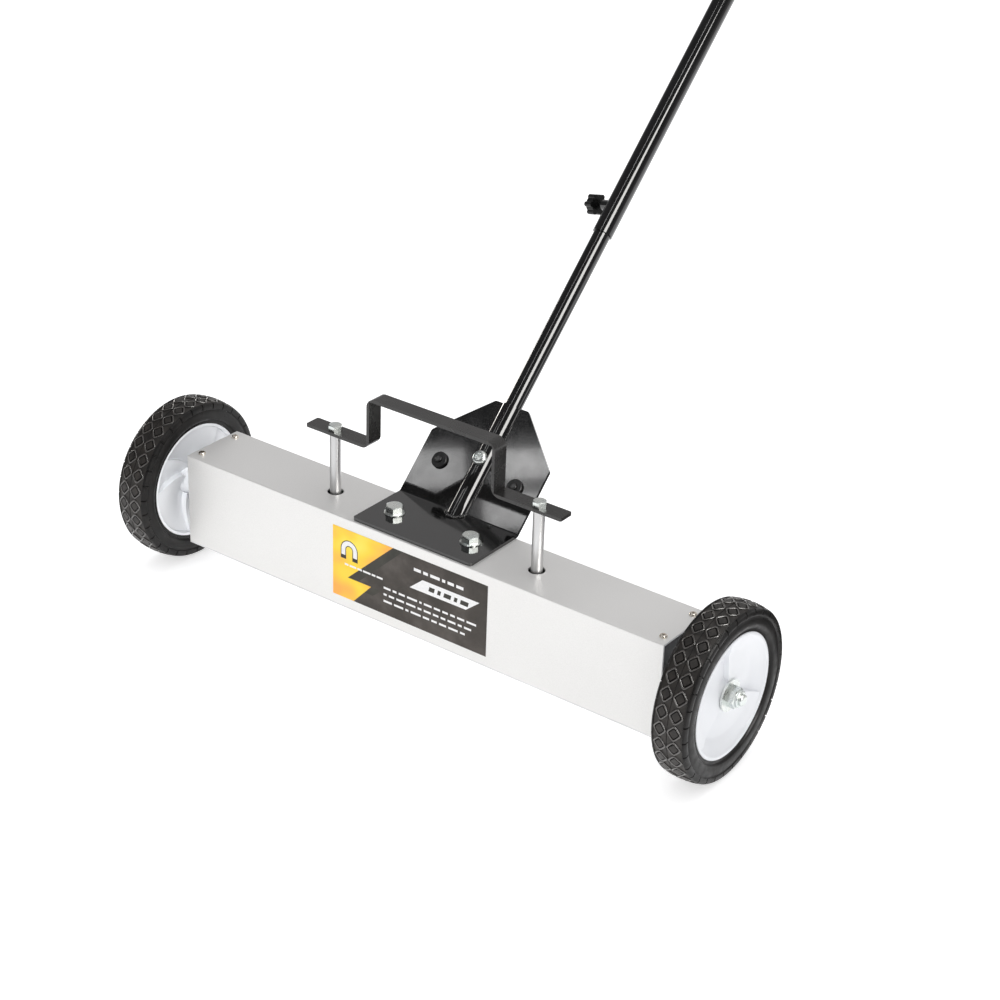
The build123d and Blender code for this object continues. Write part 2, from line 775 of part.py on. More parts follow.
for side, sign in (("left", -1), ("right", 1)):
    inner_face = axle_plane(-sign, -plate_inner_x)
    bolt_head = hex_head(inner_face, axle_nut_flats, axle_head_height)
    with BuildPart() as axle_bolt:
        with BuildSketch(axle_plane(sign, plate_inner_x)):
            Circle(axle_diameter / 2)
        extrude(amount=axle_end_x - plate_inner_x)
        fillet(
            axle_bolt.edges().filter_by(GeomType.CIRCLE).sort_by(Axis.X, reverse=sign < 0)[-1],
            radius=axle_end_round,
        )
        add(bolt_head)
    save(axle_bolt, f"axle_bolt_{side}")

    with BuildPart() as axle_spacer:
        with BuildSketch(axle_plane(sign, plate_outer_x)):
            Circle(axle_spacer_diameter / 2)
            Circle(axle_hole / 2, mode=Mode.SUBTRACT)
        extrude(amount=hub_inner_x - body_gap - plate_outer_x)
    save(axle_spacer, f"axle_spacer_{side}")

    with BuildPart() as wheel_washer:
        with BuildSketch(axle_plane(sign, washer_x)):
            Circle(washer_diameter / 2)
            Circle(axle_hole / 2, mode=Mode.SUBTRACT)
        extrude(amount=washer_thickness)
    save(wheel_washer, f"wheel_washer_{side}")

    nut_body = hex_head(axle_plane(sign, nut_x), axle_nut_flats, axle_nut_height)
    with BuildPart() as lock_nut:
        add(nut_body)
        with BuildSketch(axle_plane(sign, nut_x)):
            Circle(0.45 * axle_nut_flats)
        extrude(amount=axle_collar_height)
        fillet(
            lock_nut.edges().filter_by(GeomType.CIRCLE).sort_by(Axis.X, reverse=sign < 0)[-1],
            radius=collar_round,
        )
        with BuildSketch(axle_plane(sign, nut_x)):
            Circle(axle_diameter / 2 + thread_gap)
        extrude(amount=axle_collar_height, mode=Mode.SUBTRACT)
    save(lock_nut, f"lock_nut_{side}")

    profile_plane = Plane(
        origin=(sign * wheel_centre_x, 0, axle_height), x_dir=(sign, 0, 0), z_dir=(0, -sign, 0)
    )
    axle_line = Axis((0, 0, axle_height), (1, 0, 0))

    with BuildPart() as hub:
        with BuildSketch(profile_plane):
            with BuildLine():
                Polyline(
                    (-hub_inner_reach, bush_diameter / 2),
                    (hub_outer_reach, bush_diameter / 2),
                    (hub_outer_reach, hub_boss_radius),
                    (hub_web_outer, hub_boss_foot),
                    (hub_web_outer, hub_web_radius),
                    (hub_cone_outer, lip - 0.5),
                    (rim_outer, lip),
                    (rim_outer, rim_radius),
                    (-rim_inner, rim_radius),
                    (-rim_inner, lip),
                    (hub_cone_inner, lip - 3),
                    (hub_web_inner, hub_web_radius - 1),
                    (hub_web_inner, hub_boss_inner_foot),
                    (-hub_inner_reach, hub_boss_inner_radius),
                    close=True,
                )
            make_face()
        revolve(axis=axle_line)
        with BuildSketch(axle_plane(sign, wheel_centre_x + hub_web_inner + 0.5)):
            with PolarLocations(rib_ring, rib_count):
                Rectangle(2 * (lip - rib_ring) + 2, rib_thickness)
        extrude(amount=-rib_depth)
    save(hub, f"hub_{side}")

    with BuildPart() as hub_bush:
        with BuildSketch(axle_plane(sign, hub_inner_x)):
            Circle(bush_diameter / 2)
            Circle(axle_diameter / 2 + running_clearance, mode=Mode.SUBTRACT)
        extrude(amount=hub_outer_x - hub_inner_x)
    save(hub_bush, f"hub_bush_{side}")

    with BuildPart() as tyre:
        with BuildSketch(profile_plane):
            with BuildLine():
                Line((-half_width, rim_radius), (half_width, rim_radius))
                Line((half_width, rim_radius), (half_width, shoulder_radius))
                Line((half_width, shoulder_radius), (tread_half, tread_edge))
                ThreePointArc((tread_half, tread_edge), (0, tyre_radius), (-tread_half, tread_edge))
                Line((-tread_half, tread_edge), (-half_width, shoulder_radius))
                Line((-half_width, shoulder_radius), (-half_width, rim_radius))
            make_face()
        revolve(axis=axle_line)
    save(tyre, f"tyre_{side}")
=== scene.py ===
"""Looks of the magnetic nail sweeper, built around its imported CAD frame. Lengths are metres."""
import json
from math import cos, pi, radians, sin, sqrt

import bmesh
import bpy
from mathutils import Matrix, Vector


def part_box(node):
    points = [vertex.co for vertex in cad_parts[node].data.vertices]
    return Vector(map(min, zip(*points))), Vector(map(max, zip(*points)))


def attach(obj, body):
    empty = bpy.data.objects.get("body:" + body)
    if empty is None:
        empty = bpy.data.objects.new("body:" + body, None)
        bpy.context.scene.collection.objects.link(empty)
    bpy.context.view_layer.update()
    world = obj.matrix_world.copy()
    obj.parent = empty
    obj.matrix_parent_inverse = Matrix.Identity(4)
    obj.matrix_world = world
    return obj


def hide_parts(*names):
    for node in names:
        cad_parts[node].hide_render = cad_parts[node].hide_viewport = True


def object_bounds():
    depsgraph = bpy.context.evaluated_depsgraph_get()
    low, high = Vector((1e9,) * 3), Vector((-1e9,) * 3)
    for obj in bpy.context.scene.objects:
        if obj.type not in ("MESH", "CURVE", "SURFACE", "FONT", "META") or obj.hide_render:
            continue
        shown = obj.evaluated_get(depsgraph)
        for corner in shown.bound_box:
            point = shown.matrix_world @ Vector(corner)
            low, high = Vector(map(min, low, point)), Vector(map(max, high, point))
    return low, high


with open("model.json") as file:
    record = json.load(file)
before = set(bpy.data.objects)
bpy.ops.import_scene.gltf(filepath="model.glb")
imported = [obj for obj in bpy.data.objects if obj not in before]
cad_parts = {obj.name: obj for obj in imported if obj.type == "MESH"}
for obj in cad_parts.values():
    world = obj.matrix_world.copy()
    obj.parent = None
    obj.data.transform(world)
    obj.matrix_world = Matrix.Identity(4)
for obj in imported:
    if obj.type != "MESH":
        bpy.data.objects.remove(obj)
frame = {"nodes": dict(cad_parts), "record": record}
nodes = frame["nodes"]
cad_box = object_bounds()
MM = 0.001
# Blender's noise stays mostly between these two values.
NOISE_LOW, NOISE_HIGH = 0.3, 0.7
NOISE_ROUGHNESS = 0.55


# ---------------------------------------------------------------- shader building
class Look:
    """A Principled material with procedural layers, placed by object coordinates in metres."""

    def __init__(self, name, base, roughness, **values):
        self.mat = bpy.data.materials.new(name)
        self.mat.use_nodes = True
        self.tree = self.mat.node_tree
        self.bsdf = self.tree.nodes["Principled BSDF"]
        self.place = self.tree.nodes.new("ShaderNodeTexCoord").outputs["Object"]
        self.bsdf.inputs["Base Color"].default_value = (*base, 1)
        self.bsdf.inputs["Roughness"].default_value = roughness
        for socket, value in values.items():
            self.bsdf.inputs[socket.replace("_", " ")].default_value = value

    def node(self, kind):
        return self.tree.nodes.new(kind)

    def link(self, source, target):
        self.tree.links.new(source, target)

    def stretched(self, stretch):
        """Coordinates scaled per axis, so that a pattern runs along one of them."""
        mapping = self.node("ShaderNodeMapping")
        mapping.inputs["Scale"].default_value = stretch
        self.link(self.place, mapping.inputs["Vector"])
        return mapping.outputs["Vector"]

    def noise(self, scale, detail, stretch=(1, 1, 1)):
        made = self.node("ShaderNodeTexNoise")
        made.inputs["Scale"].default_value = scale
        made.inputs["Detail"].default_value = detail
        made.inputs["Roughness"].default_value = NOISE_ROUGHNESS
        self.link(self.stretched(stretch), made.inputs["Vector"])
        return made.outputs["Fac"]

    def cells(self, scale):
        made = self.node("ShaderNodeTexVoronoi")
        made.inputs["Scale"].default_value = scale
        self.link(self.place, made.inputs["Vector"])
        return made.outputs["Distance"]

    def mottled(self, pattern, *stops):
        """Base colour that follows the pattern through the stops."""
        made = self.node("ShaderNodeValToRGB")
        elements = made.color_ramp.elements
        while len(elements) < len(stops):
            elements.new(0.5)
        for element, (position, colour) in zip(elements, stops):
            element.position = position
            element.color = (*colour, 1)
        self.link(pattern, made.inputs["Fac"])
        self.link(made.outputs["Color"], self.bsdf.inputs["Base Color"])
        return self

    def uneven(self, noise, low, high):
        """Roughness that wanders between two values with the noise."""
        made = self.node("ShaderNodeMapRange")
        keys = ("From Min", "From Max", "To Min", "To Max")
        for key, number in zip(keys, (NOISE_LOW, NOISE_HIGH, low, high)):
            made.inputs[key].default_value = number
        self.link(noise, made.inputs["Value"])
        self.link(made.outputs["Result"], self.bsdf.inputs["Roughness"])
        return self

    def bump(self, socket, distance, strength):
        """Adds a height layer over any that is there already."""
        made = self.node("ShaderNodeBump")
        made.inputs["Strength"].default_value = strength
        made.inputs["Distance"].default_value = distance
        self.link(socket, made.inputs["Height"])
        before = self.bsdf.inputs["Normal"].links
        if before:
            self.link(before[0].from_socket, made.inputs["Normal"])
        self.link(made.outputs["Normal"], self.bsdf.inputs["Normal"])
        return self


def grey(value, warm=0.0):
    return (value * (1 + warm), value, value * (1 - warm))


def painted(name, base, roughness, peel, coat=0.0):
    """Black paint: orange peel, faint dust and small changes of gloss."""
    look = Look(name, base, roughness, Coat_Weight=coat, Coat_Roughness=0.04)
    dust = look.noise(38, 5)
    look.mottled(dust, (0.35, base), (0.75, tuple(1.5 * c + 0.002 for c in base)))
    look.uneven(look.noise(60, 4), roughness * 0.75, roughness * 1.4)
    look.bump(look.noise(420, 2), peel, 0.5)
    return look


def plated(name, base, tint, roughness, scale=240):
    """Bright metal plating with a slight play of colour, fine scratches and tooling marks."""
    look = Look(name, base, roughness, Metallic=1.0)
    look.mottled(look.noise(scale, 4), (0.3, base), (0.7, tint))
    look.uneven(look.noise(scale * 2, 5), roughness * 0.75, roughness * 1.4)
    look.bump(look.noise(500, 2), 0.000004, 0.5)
    return look


looks = {}

# Satin anodised sheet with a fine rolled grain along X and a soft speckle.
look = Look("anodised_aluminium", grey(0.8), 0.42, Metallic=0.42)
grain = look.noise(900, 3, (0.06, 1, 1))
look.mottled(look.noise(1400, 2), (0.3, (0.775, 0.77, 0.755)), (0.7, (0.84, 0.835, 0.82)))
look.uneven(look.noise(7, 3), 0.38, 0.5)
look.bump(grain, 0.00002, 0.35).bump(look.noise(1700, 2), 0.00002, 0.35)
looks["anodised_aluminium"] = look

look = Look("cover_steel", grey(0.70), 0.34, Metallic=0.9)
look.mottled(look.noise(9, 4), (0.3, grey(0.62)), (0.7, grey(0.74)))
look.uneven(look.noise(300, 4, (0.03, 1, 1)), 0.25, 0.48)
look.bump(look.noise(700, 4, (0.02, 1, 1)), 0.00003, 0.5)
looks["cover_steel"] = look

looks["black_end_plate"] = painted("black_end_plate", grey(0.015), 0.35, 0.00004)
looks["gloss_black_paint"] = painted("gloss_black_paint", grey(0.006), 0.08, 0.000016, 0.6)
looks["strap_black_paint"] = painted("strap_black_paint", grey(0.022, 0.04), 0.24, 0.00004)
looks["nickel_screw"] = plated("nickel_screw", (0.74, 0.68, 0.60), (0.82, 0.77, 0.70), 0.22)
looks["zinc"] = plated("zinc", (0.66, 0.71, 0.70), (0.76, 0.775, 0.74), 0.27, scale=90)

look = Look("post_aluminium", grey(0.62), 0.3, Metallic=0.9)
look.mottled(look.noise(60, 4, (1, 1, 0.2)), (0.3, grey(0.56)), (0.7, grey(0.66)))
look.uneven(look.noise(900, 4, (1, 1, 0.05)), 0.26, 0.44)
look.bump(look.noise(1100, 4, (1, 1, 0.04)), 0.000008, 0.5)
looks["post_aluminium"] = look

look = Look("hub_plastic", (0.86, 0.87, 0.89), 0.34, Subsurface_Weight=0.05, Specular_IOR_Level=0.3)
look.bsdf.inputs["Subsurface Radius"].default_value = (0.004, 0.004, 0.004)
look.mottled(look.noise(14, 3), (0.3, (0.835, 0.85, 0.875)), (0.7, (0.87, 0.88, 0.90)))
look.uneven(look.noise(45, 4), 0.28, 0.42)
look.bump(look.noise(60, 2), 0.00004, 0.25)
looks["hub_plastic"] = look

# Side rubber is dull; the tread's ribs keep the mould's gloss and are lighter as a painted highlight,
# and its blocks are lighter for dust and a painted sheen.
look = Look("tyre_rubber", grey(0.010, 0.08), 0.4, Specular_IOR_Level=0.24)
look.mottled(look.noise(55, 6), (0.35, grey(0.006, 0.05)), (0.75, (0.017, 0.015, 0.014)))
look.uneven(look.noise(130, 5), 0.26, 0.5)
look.bump(look.noise(900, 4), 0.00004, 0.4).bump(look.noise(160, 3), 0.0001, 0.3)
looks["tyre_rubber"] = look

# The ribs' lighter base colour is a painted highlight; their gloss is the rubber's own.
look = Look("tyre_rib", (0.045, 0.038, 0.032), 0.28, Specular_IOR_Level=1.0, Coat_Weight=0.6)
look.mottled(look.noise(300, 4), (0.35, (0.035, 0.03, 0.025)), (0.75, (0.06, 0.05, 0.042)))
look.uneven(look.noise(200, 4), 0.22, 0.38)
look.bump(look.noise(500, 3), 0.00004, 0.4)
looks["tyre_rib"] = look

# The blocks and the ground between cells are lighter brown, partly for dust and partly as a painted
# sheen.
look = Look("tyre_block", (0.022, 0.018, 0.015), 0.45, Specular_IOR_Level=0.4)
look.mottled(look.noise(120, 6), (0.35, (0.014, 0.012, 0.010)), (0.75, (0.034, 0.028, 0.023)))
look.uneven(look.noise(160, 5), 0.34, 0.55)
look.bump(look.noise(900, 4), 0.00004, 0.5)
looks["tyre_block"] = look

look = Look("black_rubber", grey(0.01), 0.3)
look.mottled(look.noise(200, 4), (0.35, grey(0.008)), (0.75, grey(0.018)))
look.bump(look.noise(1300, 3), 0.00004, 0.5)
looks["black_rubber"] = look
looks["black_screw"] = painted("black_screw", grey(0.008), 0.16, 0.00002)

look = Look("grip_rubber", grey(0.014), 0.62, Sheen_Weight=0.1)
look.mottled(look.noise(90, 6), (0.35, grey(0.01)), (0.75, grey(0.024)))
look.uneven(look.noise(240, 4), 0.5, 0.75)
look.bump(look.noise(1400, 5), 0.00008, 0.7)
looks["grip_foam"] = look

look = Look("knob_plastic", grey(0.005), 0.3, Specular_IOR_Level=0.25)
look.mottled(look.noise(120, 4), (0.35, grey(0.004)), (0.75, grey(0.008)))
look.bump(look.cells(1700), 0.00005, 0.4)
looks["knob_plastic"] = look

look = Look("bush_plastic", grey(0.74, 0.02), 0.45, Subsurface_Weight=0.1)
look.mottled(look.noise(150, 4), (0.3, grey(0.68, 0.02)), (0.7, grey(0.78, 0.02)))
look.bump(look.noise(900, 3), 0.00004, 0.5)
looks["bush_plastic"] = look

look = Look("channel_steel", grey(0.3), 0.5, Metallic=0.2)
look.mottled(look.noise(35, 6), (0.3, (0.24, 0.25, 0.26)), (0.7, (0.34, 0.35, 0.36)))
look.uneven(look.noise(90, 4), 0.42, 0.62)
look.bump(look.noise(500, 4), 0.00006, 0.6)
looks["channel_steel"] = look

look = Look("ferrite", grey(0.05), 0.55)
look.mottled(look.cells(600), (0.0, grey(0.03)), (0.6, (0.075, 0.075, 0.08)))
look.bump(look.noise(1100, 6), 0.00008, 0.8)
looks["ferrite"] = look

# Label print: aged ink on gloss film.
look = Look("label_dark", (0.065, 0.055, 0.048), 0.34, Coat_Weight=0.05, Specular_IOR_Level=0.3)
look.mottled(
    look.noise(26, 7),
    (0.3, (0.028, 0.024, 0.018)),
    (0.5, (0.05, 0.041, 0.034)),
    (0.68, (0.085, 0.073, 0.064)),
)
look.bump(look.noise(700, 2), 0.00001, 0.3)
looks["label_print"] = look
look = Look("label_band", (0.035, 0.033, 0.024), 0.34, Coat_Weight=0.05, Specular_IOR_Level=0.3)
look.mottled(look.noise(40, 6), (0.3, (0.026, 0.025, 0.018)), (0.7, (0.05, 0.047, 0.036)))
looks["label_band"] = look
look = Look("label_yellow", (1.0, 0.70, 0.02), 0.32, Coat_Weight=0.3)
look.mottled(
    look.noise(14, 2, (0.9, 1, 1.2)),
    (0.34, (1.0, 0.42, 0.04)),
    (0.48, (1.0, 0.66, 0.01)),
    (0.62, (1.0, 0.84, 0.09)),
)
looks["label_yellow"] = look
look = Look("label_white", grey(0.86), 0.32, Coat_Weight=0.3)
look.mottled(look.noise(300, 3), (0.3, grey(0.82)), (0.7, grey(0.9)))
looks["label_white"] = look


# ---------------------------------------------------------------- mesh building
def skin(bm, rows):
    """Quads between rows of points; each row closes on itself."""
    made = [[bm.verts.new(p) for p in row] for row in rows]
    count = len(made[0])
    for a, b in zip(made, made[1:]):
        for i in range(count):
            j = (i + 1) % count
            bm.faces.new((a[i], a[j], b[j], b[i]))
    return made


def shade(mesh, angle=35):
    """Smooth shading with hard edges where faces meet at more than the angle."""
    bm = bmesh.new()
    bm.from_mesh(mesh)
    for face in bm.faces:
        face.smooth = True
    for edge in bm.edges:
        edge.smooth = len(edge.link_faces) == 2 and edge.calc_face_angle(pi) < radians(angle)
    bm.to_mesh(mesh)
    bm.free()


def piece(name, bm, body, looks_used, replaced=(), angle=35, weld=0.0):
    if weld:
        bmesh.ops.remove_doubles(bm, verts=bm.verts, dist=weld)
    bmesh.ops.recalc_face_normals(bm, faces=bm.faces)
    mesh = bpy.data.meshes.new(name)
    bm.to_mesh(mesh)
    bm.free()
    shade(mesh, angle)
    for key in looks_used:
        mesh.materials.append(looks[key].mat)
    made = bpy.data.objects.new(name, mesh)
    bpy.context.scene.collection.objects.link(made)
    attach(made, body)
    if replaced:
        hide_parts(*replaced)
    return made


# ---------------------------------------------------------------- CAD nodes that stay
slot_of = {p["node"]: p["material_slot"] for p in frame["record"]["subparts"]}
for name, node in nodes.items():
    node.data.materials.clear()
    node.data.materials.append(looks[slot_of[name]].mat)

# ---------------------------------------------------------------- wheels
wheel_low, wheel_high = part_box("tyre_right")
wheel_x = (wheel_low.x + wheel_high.x) / 2 / MM
wheel_z = (wheel_low.z + wheel_high.z) / 2 / MM
tyre_radius = (wheel_high.z - wheel_low.z) / 2 / MM
hub_low, hub_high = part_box("hub_right")
rim_radius = (hub_high.z - hub_low.z) / 2 / MM


def wheel_point(sign, x, r, angle):
    """Point of a wheel from its axial offset, radius (mm) and angle from the back; the left wheel
    is the right one turned half round."""
    return Vector(
        (sign * (wheel_x + x), sign * r * cos(angle), wheel_z + r * sin(angle))
    ) * MM


# Tread cells are diamonds, BLOCKS to a row, with half diagonals AROUND and ACROSS in mm.
BLOCKS = 32
BLOCK_ANGLE = 2 * pi / BLOCKS
AROUND = pi * tyre_radius / BLOCKS
ACROSS = 7.8
SIDE = sqrt(AROUND**2 + ACROSS**2)
REACH = AROUND * ACROSS / SIDE
RING_POINTS = 16
TREAD_SINK = 0.3
CROWN_DROP, CROWN_HALF = 1.6, 15


def diamond(inset, corner_cut):
    """RING_POINTS of a diamond set in from the cell's own, with its corners rounded off."""
    shrink = 1 - inset / REACH
    corners = [Vector(c) * shrink for c in ((AROUND, 0), (0, ACROSS), (-AROUND, 0), (0, -ACROSS))]
    cut = corner_cut / (SIDE * shrink)
    ring = []
    for i, corner in enumerate(corners):
        before, after = corners[i - 1], corners[(i + 1) % 4]
        start = corner.lerp(before, cut)
        end = corner.lerp(after, cut)
        ring += [start, corner.lerp((start + end) / 2, 0.5), end, corner.lerp(after, 0.5)]
    return ring


def tread_radius(across, depth):
    """Radius of the crowned tread at an axial offset from the middle, less a depth."""
    return tyre_radius - TREAD_SINK - CROWN_DROP * (across / CROWN_HALF) ** 2 - depth


# Each cell is a rounded rib round a dark groove and a flat block; GROUND is the tread between.
GROUND = 0.9
RINGS = (
    (diamond(-0.6, 2.9), GROUND),
    (diamond(-0.5, 2.85), GROUND - 0.05),
    (diamond(-0.4, 2.8), 0.2),
    (diamond(-0.2, 2.7), -0.05),
    (diamond(0.05, 2.6), -0.2),
    (diamond(0.35, 2.4), -0.25),
    (diamond(0.65, 2.2), -0.2),
    (diamond(0.9, 2.0), -0.05),
    (diamond(1.1, 1.9), 0.2),
    (diamond(1.2, 1.8), 2.0),
    (diamond(1.9, 1.4), 2.0),
    (diamond(2.05, 1.2), 0.3),
    (diamond(2.25, 1.0), 0.0),
)
RIB_STEPS = range(2, 8)
# Rib faces take the glossy rubber whose lighter colour is a painted highlight; blocks and ground take
# the rubber that is lighter for dust and a painted sheen.
RUBBER, GLOSS_AND_HIGHLIGHT, BLOCK = range(3)
BLOCK_CROWN = -0.02

# A shoulder has a notch between blocks: half width and half width of its mouth, in half blocks.
NOTCH = 0.05
NOTCH_TOP = 0.085
COLUMNS = (-1, -1 + NOTCH, -1 + NOTCH_TOP, -0.5, 0, 0.5, 1 - NOTCH_TOP, 1 - NOTCH)
# The shoulder's rows: axial offset, drop from the top, then the notch's depth inwards and down.
SHOULDER_W = 16.2
SHOULDER = (
    (18.1, 3.2, 0.4, 1.5),
    (19.0, 5.0, 1.1, 1.0),
    (18.95, 8.2, 1.0, 0.4),
    (18.8, 8.9, 0, 0),
    (18.1, 9.4, 0, 0),
    (17.9, 10.2, 0, 0),
    (18.45, 11.2, 0, 0),
    (18.9, 13.5, 0, 0),
    (18.9, 17.5, 0, 0),
    (18.5, 20.3, 0, 0),
    (18.0, 21.2, 0, 0),
    (17.2, 21.7, 0, 0),
    (16.3, 22.4, 0, 0),
)
# The bead that grips the rim: axial offset and height over the rim.
BEAD = ((16.0, 1.6), (16.3, 0.3), (15.0, -0.5))
# The parting line's ridge: half widths and drops of its foot and crest.
RIDGE_FOOT, RIDGE_FOOT_DROP = 0.45, 1.5
RIDGE_CREST, RIDGE_CREST_DROP = 0.12, 0.85
RIDGE_COLUMNS = 192


def tread_vert(bm, sign, block, row, around, across, depth):
    """Vertex of a cell from its place in the cell, in mm, and its depth in the tread."""
    w = row * (ACROSS + across)
    angle = BLOCK_ANGLE * (block + around / AROUND / 2)
    return bm.verts.new(wheel_point(sign, w, tread_radius(w, depth), angle))


def tread_cell(bm, sign, block, row):
    """A ribbed diamond and the four triangles of ground round it."""
    loops = [
        [tread_vert(bm, sign, block, row, p.x, p.y, depth) for p in ring] for ring, depth in RINGS
    ]
    for k, (a, b) in enumerate(zip(loops, loops[1:])):
        for i in range(RING_POINTS):
            j = (i + 1) % RING_POINTS
            face = bm.faces.new((a[i], a[j], b[j], b[i]))
            face.material_index = GLOSS_AND_HIGHLIGHT if k in RIB_STEPS else RUBBER
    top = loops[-1]
    middle = tread_vert(bm, sign, block, row, 0, 0, BLOCK_CROWN)
    for i in range(RING_POINTS):
        face = bm.faces.new((top[i], top[(i + 1) % RING_POINTS], middle))
        face.material_index = BLOCK
    for quarter, (sx, sy) in enumerate(((1, 1), (-1, 1), (-1, -1), (1, -1))):
        ring = [loops[0][(4 * quarter + k) % RING_POINTS] for k in range(1, 6)]
        tip, corner, half, mid = (
            tread_vert(bm, sign, block, row, x, y, GROUND)
            for x, y in (
                (sx * AROUND, 0),
                (sx * AROUND, sy * ACROSS),
                (sx * AROUND / 2, sy * ACROSS),
                (0, sy * ACROSS),
            )
        )
        edge = [mid, half, corner, tip] if quarter in (0, 2) else [tip, corner, half, mid]
        bm.faces.new(ring + edge).material_index = BLOCK


def tyre_side(bm, sign, row):
    """One shoulder, sidewall and bead, joined to the tread; returns its innermost row."""
    outline = [(SHOULDER_W, tread_radius(SHOULDER_W, 0), 0, 0)]
    outline.append((SHOULDER_W + 0.25, tread_radius(SHOULDER_W + 0.25, 0), 0, 1.7))
    outline += [(w, tyre_radius - drop, inwards, down) for w, drop, inwards, down in SHOULDER]
    outline += [(w, rim_radius + rise, 0, 0) for w, rise in BEAD]
    rows = []
    for w, r, notch_in, notch_down in outline:
        points = []
        for block in range(BLOCKS):
            for u in COLUMNS:
                notched = abs(u) >= 1 - NOTCH - 1e-6
                x = row * (w - notch_in * notched)
                angle = BLOCK_ANGLE * (block + u / 2)
                points.append(wheel_point(sign, x, r - notch_down * notched, angle))
        rows.append(points)
    made = skin(bm, rows)
    first = made[0]
    for block in range(BLOCKS):
        base = [
            tread_vert(bm, sign, block, row, u * AROUND, ACROSS, GROUND)
            for u in (-1, -0.5, 0, 0.5, 1)
        ]
        k = block * len(COLUMNS)
        ring = [first[(k + i) % len(first)] for i in range(len(COLUMNS) + 1)]
        bm.faces.new([base[0], base[1], ring[3], ring[2], ring[1], ring[0]])
        bm.faces.new([base[1], base[2], ring[4], ring[3]])
        bm.faces.new([base[2], base[3], ring[5], ring[4]])
        bm.faces.new([base[3], base[4], ring[8], ring[7], ring[6], ring[5]])
    return made[-1]


def tyre(sign, side):
    bm = bmesh.new()
    for row in (-1, 1):
        for block in range(BLOCKS):
            tread_cell(bm, sign, block, row)
    near = tyre_side(bm, sign, -1)
    far = tyre_side(bm, sign, 1)
    for i in range(len(near)):
        j = (i + 1) % len(near)
        bm.faces.new((near[i], near[j], far[j], far[i]))
    foot = (-RIDGE_FOOT, RIDGE_FOOT_DROP)
    ridge = []
    for w, drop in (
        foot,
        (-RIDGE_CREST, RIDGE_CREST_DROP),
        (RIDGE_CREST, RIDGE_CREST_DROP),
        (RIDGE_FOOT, RIDGE_FOOT_DROP),
        foot,
    ):
        turns = [2 * pi * i / RIDGE_COLUMNS for i in range(RIDGE_COLUMNS)]
        ridge.append([wheel_point(sign, w, tyre_radius - drop, t) for t in turns])
    skin(bm, ridge)
    piece(
        f"tyre_tread_{side}", bm, f"{side}_wheel",
        ["tyre_rubber", "tyre_rib", "tyre_block"], [f"tyre_{side}"], angle=32, weld=1e-6,
    )


HUB_COLUMNS = 180
BLADES = 3
BLADE_SPAN = 2 * pi / BLADES
BLADE_START = radians(-22)
BLADE_EDGES = [(BLADE_START + BLADE_SPAN * k) % (2 * pi) for k in range(BLADES)]
BLADE_LOW, BLADE_RISE = 5.8, 6.0
VANE_EDGES = [radians(a) for a in (5.3, 42.3, 125.3, 162.3, 245.3, 282.3)]
VANE_INNER, VANE_SPAN, VANE_ROWS = 19, 42, 12
VANE_OUTER = VANE_INNER + VANE_SPAN
VANE_TWIST = 0.5
CREASE_HALF = radians(0.15)
# Offsets along the axle, in mm from the wheel's middle plane.
BOSS_FACE, BOSS_BACK = 12.0, -23.5
RIM_FACE, SLOPE_TOP = 17.0, 15.5
BORE = 8.0
LIP_WIDTH = 3.5


def ease(t):
    return t * t * (3 - 2 * t)


def blade_floor(angle):
    """Offset of the outer face's floor: three blades, each deep at its start and rising."""
    t = ((angle - BLADE_START) % BLADE_SPAN) / BLADE_SPAN
    return BLADE_LOW + BLADE_RISE * ease(t) ** 0.8


def slope(share):
    """Offset that has climbed a share of the way from the blades up to the rim."""
    return lambda a: blade_floor(a) + share * (SLOPE_TOP - blade_floor(a))


def level(offset):
    return lambda a: offset


def vane_twist(r):
    """How far the vanes lean round with the radius."""
    return VANE_TWIST * ((VANE_OUTER - r) / VANE_SPAN) ** 1.5


def vane_height(base, r):
    """Offset of the inner face: vanes that rise slowly across each gap and drop at the next vane's
    edge; base is the angle before the twist."""
    turn = (base - VANE_EDGES[0]) % (2 * pi)
    edges = [a - VANE_EDGES[0] for a in VANE_EDGES] + [2 * pi]
    for start, end in zip(edges, edges[1:]):
        if start <= turn < end:
            t = (turn - start) / (end - start)
            rise = 1.0 if end - start > 1 else 0.75
    near = (r - VANE_INNER) / VANE_SPAN
    deep = -4.5 - 5.5 * near**2
    shallow = -12.5 - 1.2 * near
    return deep + (shallow - deep) * rise * ease(t) ** 1.3


